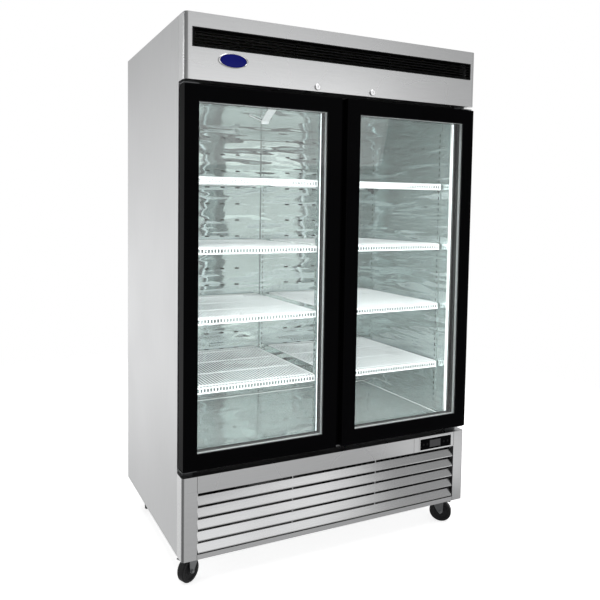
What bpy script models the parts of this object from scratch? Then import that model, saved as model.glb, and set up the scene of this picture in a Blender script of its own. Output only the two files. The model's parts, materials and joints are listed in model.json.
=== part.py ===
"""Two-door glass merchandiser, bottom-mounted refrigeration, on four casters.

Metres. X runs along the width, the doors face -Y, Z is up. The origin lies on the floor under
the middle of the cabinet.
"""

import math

import bmesh
import bpy
from mathutils import Matrix, Vector

# Overall envelope
HALF_W = 0.67
Y_FRONT = -0.400
Y_CAB = -0.338
Y_BACK = 0.4052
HEIGHT = 2.110
SHEET = 0.0015
GAP = 0.0004

# Levels
Z_BASE = 0.120
Z_GRILLE = 0.437
Z_DOOR0 = 0.460
Z_DOOR1 = 1.861
Z_HEAD = 1.876
Z_DECK = 0.440
Z_INSULATION1 = 1.897

# Cold compartment, inside faces of the liner
IN_X = 0.6205
IN_Y = 0.351
IN_Z0 = 0.487
IN_Z1 = 1.846
FLANGE_X = 0.6396

# Doors
DOOR_OUT = 0.668
DOOR_IN = 0.0015
DOOR_BACK = -0.345
GLASS_OUT = 0.613
GLASS_IN = 0.0755
GLASS_Z0 = 0.520
GLASS_Z1 = 1.803
PULL_W = 0.0120
PULL_Y = -0.372
PIVOT_X = 0.652
PIVOT_Y = -0.376

# Shelves
SHELF_Z = (0.725, 0.995, 1.268, 1.540)
SHELF_X0 = 0.038
SHELF_X1 = 0.612
SHELF_Y0 = -0.268
SHELF_Y1 = 0.312
SHELF_T = 0.006
SHELF_SLOTS = 20

# Air duct behind the slotted panel, and the evaporator below it
DUCT_Y = 0.3205
RETURN_X = (-0.170, 0.110)
SUPPLY_X = (0.210, 0.500)
DUCT_Y0 = 0.324
DUCT_Y1 = 0.346
EVAP_X0 = -0.200
EVAP_X1 = 0.560
EVAP_FAN_X = (0.020, 0.340)
EVAP_FAN_Z = 0.280

# Slats of the louvre in the base
SLAT_PITCH = 0.0452
SLAT_RISE = 0.0255

# Locks and casters
LOCK_X = 0.128
LOCK_Z = 1.8925
CAM_REACH = 0.040
WHEEL_R = 0.047
WHEEL_HALF = 0.0155
CASTER_X = 0.592
CASTER_Y = (-0.305, 0.325)
CASTER_TRAIL = 0.028


def clear_scene():
    for item in list(bpy.data.objects):
        bpy.data.objects.remove(item, do_unlink=True)


def add(name, bm):
    bmesh.ops.recalc_face_normals(bm, faces=bm.faces)
    mesh = bpy.data.meshes.new(name)
    bm.to_mesh(mesh)
    bm.free()
    item = bpy.data.objects.new(name, mesh)
    bpy.context.scene.collection.objects.link(item)
    return item


def fill_box(bm, x0, x1, y0, y1, z0, z1):
    size = Matrix.Diagonal((x1 - x0, y1 - y0, z1 - z0, 1))
    middle = Matrix.Translation(((x0 + x1) / 2, (y0 + y1) / 2, (z0 + z1) / 2))
    bmesh.ops.create_cube(bm, size=1, matrix=middle @ size)


def box(name, x0, x1, y0, y1, z0, z1):
    bm = bmesh.new()
    fill_box(bm, min(x0, x1), max(x0, x1), y0, y1, z0, z1)
    return add(name, bm)


def boxes(name, bounds):
    """Several boxes that don't touch, as one cutter."""
    bm = bmesh.new()
    for x0, x1, y0, y1, z0, z1 in bounds:
        fill_box(bm, min(x0, x1), max(x0, x1), y0, y1, z0, z1)
    return add(name, bm)


def prism(name, outline, start, stop, axis="Z"):
    """A flat outline pushed along an axis. X: (y, z). Y: (x, z). Z: (x, y)."""
    place = {
        "X": lambda a, b, c: (c, a, b),
        "Y": lambda a, b, c: (a, c, b),
        "Z": lambda a, b, c: (a, b, c),
    }[axis]
    bm = bmesh.new()
    low = [bm.verts.new(place(a, b, start)) for a, b in outline]
    high = [bm.verts.new(place(a, b, stop)) for a, b in outline]
    bm.faces.new(low)
    bm.faces.new(high)
    for i in range(len(outline)):
        j = (i + 1) % len(outline)
        bm.faces.new((low[i], low[j], high[j], high[i]))
    return add(name, bm)


def lathe(name, outline, centre, axis="Z", steps=32):
    """Turns (radius, height) points about an axis through the centre; a closed outline makes a ring."""
    place = {
        "X": lambda r, t, h: (h, r * math.cos(t), r * math.sin(t)),
        "Y": lambda r, t, h: (r * math.cos(t), h, r * math.sin(t)),
        "Z": lambda r, t, h: (r * math.cos(t), r * math.sin(t), h),
    }[axis]
    hollow = outline[0][0] > 1e-6 and outline[-1][0] > 1e-6
    bm = bmesh.new()
    rings = []
    for radius, height in outline:
        if radius < 1e-6:
            rings.append([bm.verts.new(Vector(centre) + Vector(place(0, 0, height)))])
            continue
        ring = []
        for i in range(steps):
            angle = 2 * math.pi * i / steps
            ring.append(bm.verts.new(Vector(centre) + Vector(place(radius, angle, height))))
        rings.append(ring)
    pairs = list(zip(rings, rings[1:]))
    if hollow:
        pairs.append((rings[-1], rings[0]))
    for one, two in pairs:
        for i in range(steps):
            j = (i + 1) % steps
            corners = [one[i % len(one)], one[j % len(one)], two[j % len(two)], two[i % len(two)]]
            unique = list(dict.fromkeys(corners))
            if len(unique) > 2:
                bm.faces.new(unique)
    return add(name, bm)


def disc(name, radius, centre, start, stop, axis="Z", steps=32):
    return lathe(name, [(0, start), (radius, start), (radius, stop), (0, stop)], centre, axis, steps)


def boolean(item, tool, operation):
    modifier = item.modifiers.new(operation, "BOOLEAN")
    modifier.operation = operation
    modifier.solver = "EXACT"
    modifier.object = tool
    graph = bpy.context.evaluated_depsgraph_get()
    mesh = bpy.data.meshes.new_from_object(item.evaluated_get(graph))
    item.modifiers.clear()
    item.data = mesh
    bpy.data.objects.remove(tool, do_unlink=True)
    return item


def join(item, *tools):
    for tool in tools:
        boolean(item, tool, "UNION")
    return item


def cut(item, *tools):
    for tool in tools:
        boolean(item, tool, "DIFFERENCE")
    return item


def turn(item, degrees, pivot, axis="Z"):
    spot = Matrix.Translation(Vector(pivot))
    spin = Matrix.Rotation(math.radians(degrees), 4, axis)
    item.data.transform(spot @ spin @ spot.inverted())
    return item


def pivot_at(item, point):
    item.data.transform(Matrix.Translation(-Vector(point)))
    item.location = point
    return item


def paint(item, colour, metallic=0.0, roughness=0.5, alpha=1.0, glow=0.0):
    material = bpy.data.materials.new(item.name)
    material.use_nodes = True
    shader = material.node_tree.nodes["Principled BSDF"]
    shader.inputs["Base Color"].default_value = (*colour, 1)
    shader.inputs["Metallic"].default_value = metallic
    shader.inputs["Roughness"].default_value = roughness
    if alpha < 1:
        shader.inputs["Transmission Weight"].default_value = 1.0
    if glow:
        shader.inputs["Emission Color"].default_value = (1, 1, 1, 1)
        shader.inputs["Emission Strength"].default_value = glow
    item.data.materials.clear()
    item.data.materials.append(material)
    item.data.polygons.foreach_set("use_smooth", [True] * len(item.data.polygons))
    item.data.set_sharp_from_angle(angle=math.radians(32))
    return item


def steel(item):
    return paint(item, (0.62, 0.63, 0.64), 1.0, 0.32)


def black(item):
    return paint(item, (0.015, 0.015, 0.017), 0.0, 0.22)


# ---------------------------------------------------------------- cabinet shell


def side_panel(name, side):
    """Folded outer skin: the side itself with a return at the front and one at the back."""
    fold = 0.030
    outline = [
        (HALF_W, Y_CAB),
        (HALF_W - fold, Y_CAB),
        (HALF_W - fold, Y_CAB + SHEET),
        (HALF_W - SHEET, Y_CAB + SHEET),
        (HALF_W - SHEET, Y_BACK - SHEET),
        (HALF_W - fold, Y_BACK - SHEET),
        (HALF_W - fold, Y_BACK),
        (HALF_W, Y_BACK),
    ]
    return steel(prism(name, [(side * x, y) for x, y in outline], Z_BASE, HEIGHT))


def cut_air_ways(item):
    for x0, x1 in (RETURN_X, SUPPLY_X):
        cut(item, box("c", x0, x1, DUCT_Y0, DUCT_Y1, Z_DECK - 0.02, IN_Z0 + 0.01))
    return item


def cabinet_shell():
    side_panel("side_panel_left", -1)
    side_panel("side_panel_right", 1)

    inner = HALF_W - SHEET - GAP
    back = Y_BACK - SHEET - GAP
    front = Y_CAB + SHEET + GAP

    lid = box("top_panel", -inner, inner, front, back, 2.085, HEIGHT)
    hollow = box("c", -inner + SHEET, inner - SHEET, front + SHEET, back - SHEET, 2.0, HEIGHT - SHEET)
    steel(cut(lid, hollow))

    rear = box("back_panel", -FLANGE_X, FLANGE_X, Y_BACK - SHEET, Y_BACK, 0.447, 2.108)
    steel(rear)

    cover = box("rear_machine_cover", -FLANGE_X, FLANGE_X, Y_BACK - SHEET, Y_BACK, 0.127, 0.443)
    slots = []
    for column in range(4):
        middle = -0.45 + 0.30 * column
        for row in range(6):
            low = 0.175 + 0.036 * row
            slots.append((middle - 0.11, middle + 0.11, 0.39, 0.42, low, low + 0.012))
    steel(cut(cover, boxes("c", slots)))

    deck = box("deck_panel", -inner, inner, front, back, 0.410, Z_DECK)
    hollow = box("c", -inner + SHEET, inner - SHEET, front + SHEET, back - SHEET, 0.40, Z_DECK - SHEET)
    steel(cut_air_ways(cut(deck, hollow)))

    foam = box("insulation_shell", -inner, inner, front, back, Z_DECK + GAP, Z_INSULATION1)
    skin = SHEET + GAP
    room = box("c", -IN_X - skin, IN_X + skin, -0.40, IN_Y + skin, IN_Z0 - skin, IN_Z1 + skin)
    paint(cut_air_ways(cut(foam, room)), (0.80, 0.74, 0.50), 0.0, 0.9)


def shelf_clip_boxes(side):
    """The two rests that a shelf has on the side wall of the liner."""
    found = []
    for z in SHELF_Z:
        top = z - GAP
        for y in (-0.258, 0.235):
            found.append((side * (IN_X + 0.0008), side * (SHELF_X1 - 0.010), y, y + 0.016, top - 0.010, top))
    return found


def liner():
    """Polished inner box, open to the front, with a flange that the door gaskets close on."""
    x = IN_X + SHEET
    body = box("inner_liner", -x, x, Y_CAB + 0.0004, IN_Y + SHEET, IN_Z0 - SHEET, IN_Z1 + SHEET)
    join(body, box("f", -FLANGE_X, FLANGE_X, Y_CAB, Y_CAB + SHEET, Z_DECK + 0.002, Z_HEAD - 0.001))
    cut(body, box("c", -IN_X, IN_X, -0.40, IN_Y, IN_Z0, IN_Z1))
    join(body, boxes("k", shelf_clip_boxes(-1) + shelf_clip_boxes(1)))
    paint(cut_air_ways(body), (0.75, 0.76, 0.76), 1.0, 0.18)


def join_rests(item, half, y0, y1):
    """Joins a rest for each shelf to both sides of a post in the middle of the cabinet."""
    rests = []
    for z in SHELF_Z:
        for side in (-1, 1):
            x0, x1 = side * (half - 0.001), side * (SHELF_X0 + 0.012)
            rests.append((x0, x1, y0, y1, z - GAP - 0.010, z - GAP))
    return join(item, boxes("k", rests))


def centre_posts():
    """Front post between the door openings, and the panel of the air duct with the rear post on it."""
    z0, z1 = IN_Z0 + GAP, IN_Z1 - GAP
    lip = Y_CAB + 0.020
    front = box("centre_mullion", -0.055, 0.055, Y_CAB, lip, z0, z1)
    join(front, box("m", -0.030, 0.030, Y_CAB + 0.002, -0.240, z0, z1))
    for half, depth in ((0.055, lip - SHEET), (0.030, -0.230)):
        inside = half - SHEET
        cut(front, box("c", -inside, inside, Y_CAB + SHEET, depth, z0 - 0.01, z1 + 0.01))
    steel(join_rests(front, 0.030, -0.260, -0.244))

    x, face = IN_X - GAP, DUCT_Y - 0.0080
    panel = box("air_duct_panel", -x, x, DUCT_Y, DUCT_Y + SHEET, z0, z1)
    join(panel, box("post", -0.012, 0.012, face, DUCT_Y + 0.0005, z0 + GAP, z1 - GAP))
    steel(join_rests(panel, 0.012, face - 0.016, face + 0.004))


def led_strips():
    names = ("led_strip_1", "led_strip_2", "led_strip_3", "led_strip_4")
    ranges = ((-0.6201, -0.6125), (-0.0630, -0.0554), (0.0554, 0.0630), (0.6125, 0.6201))
    for name, (x0, x1) in zip(names, ranges):
        strip = box(name, x0, x1, -0.3370, -0.3200, IN_Z0 + 0.02, IN_Z1 - 0.02)
        paint(strip, (0.95, 0.97, 1.0), 0.0, 0.35, glow=3.0)


# ---------------------------------------------------------------- header


def rounded_front(radius, half, front, back, steps=6):
    """Plan outline of a cover: flat front, rounded front corners, open sides running back."""
    points = [(-half, back)]
    for i in range(steps + 1):
        angle = math.pi + math.pi / 2 * i / steps
        points.append((-half + radius + radius * math.cos(angle), front + radius + radius * math.sin(angle)))
    for i in range(steps + 1):
        angle = 1.5 * math.pi + math.pi / 2 * i / steps
        points.append((half - radius + radius * math.cos(angle), front + radius + radius * math.sin(angle)))
    points.append((half, back))
    return points


def header():
    back = Y_CAB - GAP
    cover = prism("header_cover", rounded_front(0.018, HALF_W, Y_FRONT, back), Z_HEAD, HEIGHT)
    inside = rounded_front(0.0165, HALF_W - SHEET, Y_FRONT + SHEET, 0.0)
    cut(cover, prism("c", inside, Z_HEAD + SHEET, HEIGHT - SHEET))
    cut(cover, box("c", -0.641, 0.641, -0.42, -0.38, 1.990, 2.059))
    for x in (-LOCK_X, LOCK_X):
        cut(cover, disc("c", 0.00915, (x, 0, LOCK_Z), -0.42, -0.39, "Y", 24))
        cut(cover, box("c", x - 0.009, x + CAM_REACH + 0.003, -0.3775, -0.3685, Z_HEAD - 0.01, Z_HEAD + 0.01))
    steel(cover)

    vent = box("header_vent_grille", -0.6405, 0.6405, -0.4020, -0.3840, 1.9905, 2.0585)
    cut(vent, box("c", -0.6345, 0.6345, -0.42, -0.37, 1.9945, 2.0545))
    for i in range(5):
        z = 1.9985 + 0.0108 * i
        slat = [(-0.4005, z), (-0.3875, z + 0.0070), (-0.3875, z + 0.0088), (-0.4005, z + 0.0018)]
        join(vent, prism("s", slat, -0.6365, 0.6365, "X"))
    for x in (-0.215, 0.215):
        join(vent, box("s", x - 0.002, x + 0.002, -0.3885, -0.3845, 1.993, 2.056))
    black(vent)


def lock(name, x):
    """Key cylinder with the cam that drops through the header into the door's top rail."""
    outline = [(0, -0.4052), (0.0105, -0.4052), (0.0120, -0.4040), (0.0120, -0.4003)]
    outline += [(0.0090, -0.4003), (0.0090, -0.3740), (0, -0.3740)]
    body = lathe(name, outline, (x, 0, LOCK_Z), "Y", 28)
    join(body, box("cam", x - 0.0065, x + CAM_REACH, -0.3748, -0.3718, LOCK_Z - 0.006, LOCK_Z + 0.006))
    cut(body, box("key", x - 0.0008, x + 0.0008, -0.41, -0.400, LOCK_Z - 0.004, LOCK_Z + 0.004))
    paint(body, (0.80, 0.80, 0.80), 1.0, 0.12)
    pivot_at(body, (x, -0.400, LOCK_Z))


# ---------------------------------------------------------------- doors


def door(side, label):
    """Black framed door. side is -1 for the door hinged on the left, +1 for the right one."""

    def block(name, xa, xb, y0, y1, z0, z1):
        return box(name, side * xa, side * xb, y0, y1, z0, z1)

    frame = block("door_frame_" + label, DOOR_IN, DOOR_OUT, Y_FRONT, DOOR_BACK, Z_DOOR0, Z_DOOR1)
    edge = frame.modifiers.new("edges", "BEVEL")
    edge.width = 0.0025
    edge.segments = 2
    graph = bpy.context.evaluated_depsgraph_get()
    frame.data = bpy.data.meshes.new_from_object(frame.evaluated_get(graph))
    frame.modifiers.clear()
    cut(frame, block("c", GLASS_IN, GLASS_OUT, -0.42, -0.33, GLASS_Z0, GLASS_Z1))
    lap = 0.010
    pocket = (GLASS_IN - lap, GLASS_OUT + lap, -0.3925, -0.3585, GLASS_Z0 - lap, GLASS_Z1 + lap)
    cut(frame, block("c", *pocket))
    cut(frame, block("c", -0.01, DOOR_IN + PULL_W, -0.42, PULL_Y, Z_DOOR0 - 0.01, Z_DOOR1 + 0.01))
    for z0, z1 in ((Z_DOOR0 - 0.01, Z_DOOR0 + 0.020), (Z_DOOR1 - 0.020, Z_DOOR1 + 0.01)):
        cut(frame, disc("c", 0.0042, (side * PIVOT_X, PIVOT_Y, 0), z0, z1, "Z", 24))
    slot = side * LOCK_X
    cut(frame, box("c", slot - 0.009, slot + 0.029, -0.3775, -0.3685, Z_DOOR1 - 0.012, Z_DOOR1 + 0.01))
    pivot = (side * PIVOT_X, PIVOT_Y, Z_DOOR0)
    pivot_at(black(frame), pivot)

    out = GLASS_OUT + 0.0096
    inn = GLASS_IN - 0.0096
    low = GLASS_Z0 - 0.0096
    high = GLASS_Z1 + 0.0096
    panes = (("glass_outer_", -0.3921, -0.3881), ("glass_inner_", -0.3629, -0.3589))
    for name, y0, y1 in panes:
        pane = block(name + label, inn, out, y0, y1, low, high)
        pivot_at(paint(pane, (0.93, 0.97, 0.95), 0.0, 0.03, alpha=0.1), pivot)

    spacer = block("glass_spacer_" + label, inn, out, -0.3877, -0.3633, low, high)
    cut(spacer, block("c", inn + 0.011, out - 0.011, -0.40, -0.35, low + 0.011, high - 0.011))
    pivot_at(paint(spacer, (0.70, 0.71, 0.72), 1.0, 0.35), pivot)

    seal = block("door_gasket_" + label, 0.0060, 0.6515, -0.3446, -0.3384, 0.463, 1.859)
    cut(seal, block("c", 0.0180, 0.6395, -0.36, -0.33, 0.475, 1.847))
    pivot_at(paint(seal, (0.03, 0.03, 0.032), 0.0, 0.7), pivot)


def hinge_bracket(name, side, bottom):
    """Folded plate with the pin that the door turns on."""
    z0, z1 = (0.4535, 0.4565) if bottom else (1.8645, 1.8675)
    f0, f1 = (0.4390, 0.4565) if bottom else (1.8645, 1.8755)
    p0, p1 = (0.4560, 0.4745) if bottom else (1.8465, 1.8650)
    x0, x1 = sorted((side * 0.6675, side * 0.6100))
    back = Y_CAB - GAP
    body = box(name, x0, x1, -0.3880, back, z0, z1)
    join(body, box("f", x0, x1, back - 0.0030, back, f0, f1))
    join(body, disc("p", 0.0041, (side * PIVOT_X, PIVOT_Y, 0), p0, p1, "Z", 20))
    steel(body)


# ---------------------------------------------------------------- shelves


def shelf(name, side, z):
    """Wire shelf: a rim with bars running from front to back."""
    x0, x1 = sorted((side * SHELF_X0, side * SHELF_X1))
    plate = box(name, x0, x1, SHELF_Y0, SHELF_Y1, z, z + SHELF_T)
    rim = 0.008
    bar = 0.0042
    pitch = (x1 - x0 - 2 * rim + bar) / SHELF_SLOTS
    slots = []
    for i in range(SHELF_SLOTS):
        start = x0 + rim + pitch * i
        for y0, y1 in ((SHELF_Y0 + rim, 0.022), (0.028, SHELF_Y1 - rim)):
            slots.append((start, start + pitch - bar, y0, y1, z - 0.01, z + 0.02))
    paint(cut(plate, boxes("c", slots)), (0.86, 0.87, 0.87), 0.0, 0.35)


# ---------------------------------------------------------------- evaporator, below the deck


def evaporator():
    """Insulated box under the rear of the cold compartment, with the coil and its two fans."""
    y0, y1 = 0.020, 0.350
    housing = box("evaporator_housing", EVAP_X0, EVAP_X1, y0, y1, 0.1229, 0.4380)
    cut(housing, box("c", EVAP_X0 + 0.006, EVAP_X1 - 0.006, y0 + 0.006, y1 - 0.006, 0.1289, 0.45))
    paint(housing, (0.82, 0.83, 0.83), 0.0, 0.5)

    x0, x1 = EVAP_X0 + 0.020, EVAP_X1 - 0.020
    coil = box("evaporator_coil", x0, x1, 0.150, 0.290, 0.1293, 0.400)
    grooves = []
    for i in range(14):
        start = x0 + 0.020 + 0.050 * i
        grooves.append((start, start + 0.030, 0.14, 0.30, 0.150, 0.41))
    cut(coil, boxes("c", grooves))
    for x in EVAP_FAN_X:
        join(coil, disc("m", 0.0250, (x, 0, EVAP_FAN_Z), 0.0980, 0.1560, "Y", 24))
        join(coil, disc("m", 0.0030, (x, 0, EVAP_FAN_Z), 0.0720, 0.1000, "Y", 20))
    paint(coil, (0.72, 0.73, 0.74), 1.0, 0.4)

    for name, x in zip(("evaporator_fan_left", "evaporator_fan_right"), EVAP_FAN_X):
        fan(name, (x, 0.084, EVAP_FAN_Z), 0.014, 0.075, 4)


def fan(name, centre, hub, reach, blades):
    """Hub with pitched blades, turning about Y."""
    y0, y1 = centre[1] - 0.009, centre[1] + 0.009
    outline = [(0.0031, y0), (hub, y0), (hub, y1), (0.0031, y1)]
    body = lathe(name, outline, (centre[0], 0, centre[2]), "Y", 24)
    for i in range(blades):
        blade = box("b", hub * 0.7, reach, -0.0009, 0.0009, -reach * 0.30, reach * 0.30)
        turn(blade, 22, (0, 0, 0), "X")
        turn(blade, 360 * i / blades, (0, 0, 0), "Y")
        blade.data.transform(Matrix.Translation(centre))
        join(body, blade)
    paint(body, (0.08, 0.08, 0.085), 0.0, 0.45)
    pivot_at(body, centre)


# ---------------------------------------------------------------- lower compartment


def lower_front():
    back = Y_CAB - GAP
    low = Z_BASE + 0.002
    frame = prism("lower_front_frame", rounded_front(0.012, HALF_W, -0.395, back), low, Z_GRILLE)
    inside = rounded_front(0.0105, HALF_W - SHEET, -0.395 + SHEET, 0.0)
    cut(frame, prism("c", inside, low + SHEET, Z_GRILLE - SHEET))
    cut(frame, box("c", -0.610, 0.612, -0.41, -0.38, 0.141, 0.373))
    cut(frame, box("c", 0.4235, 0.5945, -0.41, -0.38, 0.3795, 0.4275))
    steel(frame)

    display = box("control_display", 0.4239, 0.5941, -0.3970, -0.3600, 0.3799, 0.4271)
    black(display)

    # five slats that lean back, on four uprights behind them
    grille = box("louvre_grille", -0.6050, -0.6010, -0.3785, -0.3600, 0.1425, 0.3715)
    for x in (-0.200, 0.200, 0.605):
        join(grille, box("s", x - 0.002, x + 0.002, -0.3785, -0.3600, 0.1425, 0.3715))
    for i in range(5):
        z = 0.1475 + SLAT_PITCH * i
        slat = [
            (-0.3932, z - 0.0025),
            (-0.3918, z - 0.0025),
            (-0.3918, z),
            (-0.3762, z + SLAT_RISE),
            (-0.3779, z + SLAT_RISE),
            (-0.3932, z + 0.0005),
        ]
        join(grille, prism("s", slat, -0.6060, 0.6090, "X"))
    steel(grille)


def machine_compartment():
    inner = HALF_W - SHEET - GAP
    back = Y_BACK - SHEET - GAP
    front = Y_CAB + SHEET + GAP
    tray = box("base_tray", -inner, inner, front, back, Z_BASE, 0.158)
    cut(tray, box("c", -inner + 0.002, inner - 0.002, front + 0.002, back - 0.002, Z_BASE + 0.0025, 0.20))
    for x in (-CASTER_X, CASTER_X):
        for y in CASTER_Y:
            join(tray, box("p", x - 0.048, x + 0.048, y - 0.042, y + 0.042, 0.1150, Z_BASE + 0.001))
            join(tray, disc("q", 0.0250, (x, y, 0), 0.1050, 0.1155, "Z", 28))
    paint(tray, (0.50, 0.51, 0.52), 1.0, 0.45)

    dome = [(0, 0.1229), (0.088, 0.1229), (0.092, 0.140), (0.092, 0.215), (0.085, 0.250)]
    dome += [(0.066, 0.275), (0.035, 0.290), (0, 0.293)]
    compressor = lathe("compressor", dome, (-0.36, 0.17, 0), "Z", 32)
    join(compressor, box("b", -0.48, -0.24, 0.09, 0.25, 0.1229, 0.1300))
    join(compressor, box("t", -0.272, -0.225, 0.140, 0.200, 0.170, 0.230))
    black(compressor)

    coil = box("condenser_coil", 0.040, 0.480, -0.285, -0.220, 0.1229, 0.385)
    grooves = []
    for i in range(14):
        x = 0.056 + 0.030 * i
        grooves.append((x, x + 0.018, -0.30, -0.262, 0.135, 0.375))
        grooves.append((x, x + 0.018, -0.243, -0.20, 0.135, 0.375))
    cut(coil, boxes("c", grooves))
    paint(coil, (0.70, 0.71, 0.72), 1.0, 0.45)

    shroud = box("condenser_fan_shroud", 0.100, 0.420, -0.2195, -0.1300, 0.1229, 0.385)
    cut(shroud, box("c", 0.103, 0.417, -0.2300, -0.1330, 0.1259, 0.382))
    cut(shroud, disc("c", 0.1100, (0.26, 0, 0.254), -0.15, -0.12, "Y", 40))
    for degrees in (0, 120, 240):
        arm = box("a", 0.26, 0.26 + 0.130, -0.1325, -0.1265, 0.249, 0.259)
        turn(arm, degrees + 90, (0.26, 0, 0.254), "Y")
        join(shroud, arm)
    join(shroud, disc("m", 0.0360, (0.26, 0, 0.254), -0.1345, -0.075, "Y", 28))
    join(shroud, disc("m", 0.0030, (0.26, 0, 0.254), -0.1800, -0.134, "Y", 20))
    black(shroud)
    fan("condenser_fan", (0.26, -0.165, 0.254), 0.030, 0.104, 5)


# ---------------------------------------------------------------- casters


def caster(label, x, y, degrees, brake):
    """Swivel fork and its wheel. At zero turn the wheel trails towards -X and its axle lies along Y."""
    top = (x, y, 0.1046)
    ax = x - CASTER_TRAIL
    fork = disc("caster_fork_" + label, 0.0240, (x, y, 0), 0.0985, 0.1046, "Z", 28)
    join(fork, box("b", ax - 0.014, x + 0.016, y - 0.0220, y + 0.0220, 0.0988, 0.1020))
    for side in (-1, 1):
        y0, y1 = sorted((y + side * 0.0190, y + side * 0.0220))
        leg = [
            (x + 0.016, 0.1015),
            (ax - 0.014, 0.1015),
            (ax - 0.011, 0.047),
            (ax, 0.036),
            (ax + 0.012, 0.047),
        ]
        join(fork, prism("l", leg, y0, y1, "Y"))
    join(fork, disc("axle", 0.0048, (ax, 0, WHEEL_R), y - 0.0250, y + 0.0250, "Y", 20))
    if brake:
        join(fork, box("pedal", ax - 0.044, ax - 0.008, y - 0.0180, y + 0.0180, 0.0980, 0.1010))
    turn(fork, degrees, top)
    paint(fork, (0.60, 0.61, 0.62), 1.0, 0.4)
    pivot_at(fork, top)

    outline = [
        (0.0049, -0.0175),
        (0.0140, -0.0175),
        (0.0160, -0.0120),
        (0.0320, -0.0120),
        (0.0350, -WHEEL_HALF),
        (0.0435, -WHEEL_HALF),
        (WHEEL_R, -0.0110),
        (WHEEL_R, 0.0110),
        (0.0435, WHEEL_HALF),
        (0.0350, WHEEL_HALF),
        (0.0320, 0.0120),
        (0.0160, 0.0120),
        (0.0140, 0.0175),
        (0.0049, 0.0175),
    ]
    wheel = lathe("caster_wheel_" + label, outline, (ax, y, WHEEL_R), "Y", 36)
    turn(wheel, degrees, top)
    paint(wheel, (0.03, 0.03, 0.032), 0.0, 0.6)
    centre = Matrix.Rotation(math.radians(degrees), 3, "Z") @ Vector((-CASTER_TRAIL, 0, 0))
    pivot_at(wheel, (x + centre.x, y + centre.y, WHEEL_R))


def build():
    clear_scene()
    cabinet_shell()
    liner()
    centre_posts()
    led_strips()
    header()
    lock("lock_left", -LOCK_X)
    lock("lock_right", LOCK_X)
    door(-1, "left")
    door(1, "right")
    for side, label in ((-1, "left"), (1, "right")):
        hinge_bracket("hinge_top_" + label, side, False)
        hinge_bracket("hinge_bottom_" + label, side, True)
        for i, z in enumerate(SHELF_Z):
            shelf("shelf_" + label + "_" + str(i + 1), side, z)
    evaporator()
    lower_front()
    machine_compartment()
    caster("front_left", -CASTER_X, CASTER_Y[0], 27, True)
    caster("front_right", CASTER_X, CASTER_Y[0], 135, True)
    caster("rear_left", -CASTER_X, CASTER_Y[1], 75, False)
    caster("rear_right", CASTER_X, CASTER_Y[1], 20, False)


build()
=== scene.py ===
"""Looks of the two-door glass merchandiser: materials, wire shelves, fittings, light and camera."""

import json
import math

import bmesh
import bpy
from mathutils import Matrix, Vector


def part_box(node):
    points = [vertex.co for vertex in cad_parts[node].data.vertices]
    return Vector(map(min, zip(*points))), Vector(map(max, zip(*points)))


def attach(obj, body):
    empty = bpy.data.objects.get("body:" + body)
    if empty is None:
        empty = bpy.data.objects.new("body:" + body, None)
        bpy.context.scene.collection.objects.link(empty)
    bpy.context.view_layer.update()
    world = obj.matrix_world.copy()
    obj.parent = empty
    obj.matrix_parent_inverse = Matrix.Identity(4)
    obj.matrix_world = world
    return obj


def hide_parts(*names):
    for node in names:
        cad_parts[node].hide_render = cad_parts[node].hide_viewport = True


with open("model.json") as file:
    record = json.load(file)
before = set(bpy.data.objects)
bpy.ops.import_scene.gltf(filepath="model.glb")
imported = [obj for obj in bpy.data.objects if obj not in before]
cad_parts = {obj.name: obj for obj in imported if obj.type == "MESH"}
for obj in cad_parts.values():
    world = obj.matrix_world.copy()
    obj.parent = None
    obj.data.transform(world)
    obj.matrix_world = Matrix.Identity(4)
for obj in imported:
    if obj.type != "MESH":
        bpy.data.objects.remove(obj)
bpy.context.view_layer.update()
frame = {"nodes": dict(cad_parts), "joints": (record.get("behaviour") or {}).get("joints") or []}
NODES = frame["nodes"]
SCENE = bpy.context.scene
SIDES = (("left", -1), ("right", 1))
SHELVES = (1, 2, 3, 4)

# Camera: place in metres, turn in degrees (yaw to the right of +Y), and framing
CAMERA_AT = (-1.379, -2.443, 1.410)
CAMERA_YAW = 23.5
CAMERA_PITCH = -3.1
CAMERA_ROLL = 0.5
CAMERA_LENS = 36.5
CAMERA_SHIFT = (0.117, -0.092)

# Studio: how bright the world is by degrees from the front towards the right, and by height
WORLD_AROUND = (
    (-180, 1.0),
    (-150, 1.0),
    (-128, 0.85),
    (-108, 0.25),
    (-30, 0.22),
    (2, 0.76),
    (31, 0.74),
    (42, 0.48),
    (70, 0.46),
    (110, 0.7),
    (150, 0.95),
    (180, 0.95),
)
WORLD_RISE = (
    (-1.0, 0.45),
    (-0.42, 0.54),
    (-0.15, 0.88),
    (0.0, 1.0),
    (0.25, 0.76),
    (0.5, 0.40),
    (1.0, 0.40),
)
WORLD_RISE_BACK = (
    (-1.0, 0.50),
    (-0.42, 0.66),
    (-0.27, 1.0),
    (-0.10, 0.98),
    (0.08, 0.74),
    (0.26, 0.46),
    (1.0, 0.45),
)
WORLD_POWER = 1.2

# Where the curve of the world's height turns from the front one into the rear one, by world Y
WORLD_TURN = (-0.2, 0.5)

# Soft boxes: name, place, target, width and height, power
SOFT_BOXES = (
    ("top", (0, -0.8, 5.2), (0, 0, 0), (5.0, 5.0), 200),
    ("left", (-4.6, 2.6, 2.2), (-0.6, 0, 1.1), (2.2, 2.6), 30),
    ("slats", (1.16, -3.65, 2.25), (-0.2, -0.4, 0.25), (2.6, 0.85), 4.0),
    ("floor_right", (1.45, -1.05, 0.004), (1.45, -1.05, 1.0), (1.1, 0.7), 0.9),
)

# Floor: its own glow, and the radii between which it fades away
FLOOR_GLOW = 0.75
FLOOR_FADE = (1.9, 3.6)

# Hidden lights inside the cabinet: just behind each door, and thrown back from the rear wall
INSIDE_POWER = 5.2
BOUNCE_POWER = 2.6

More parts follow.
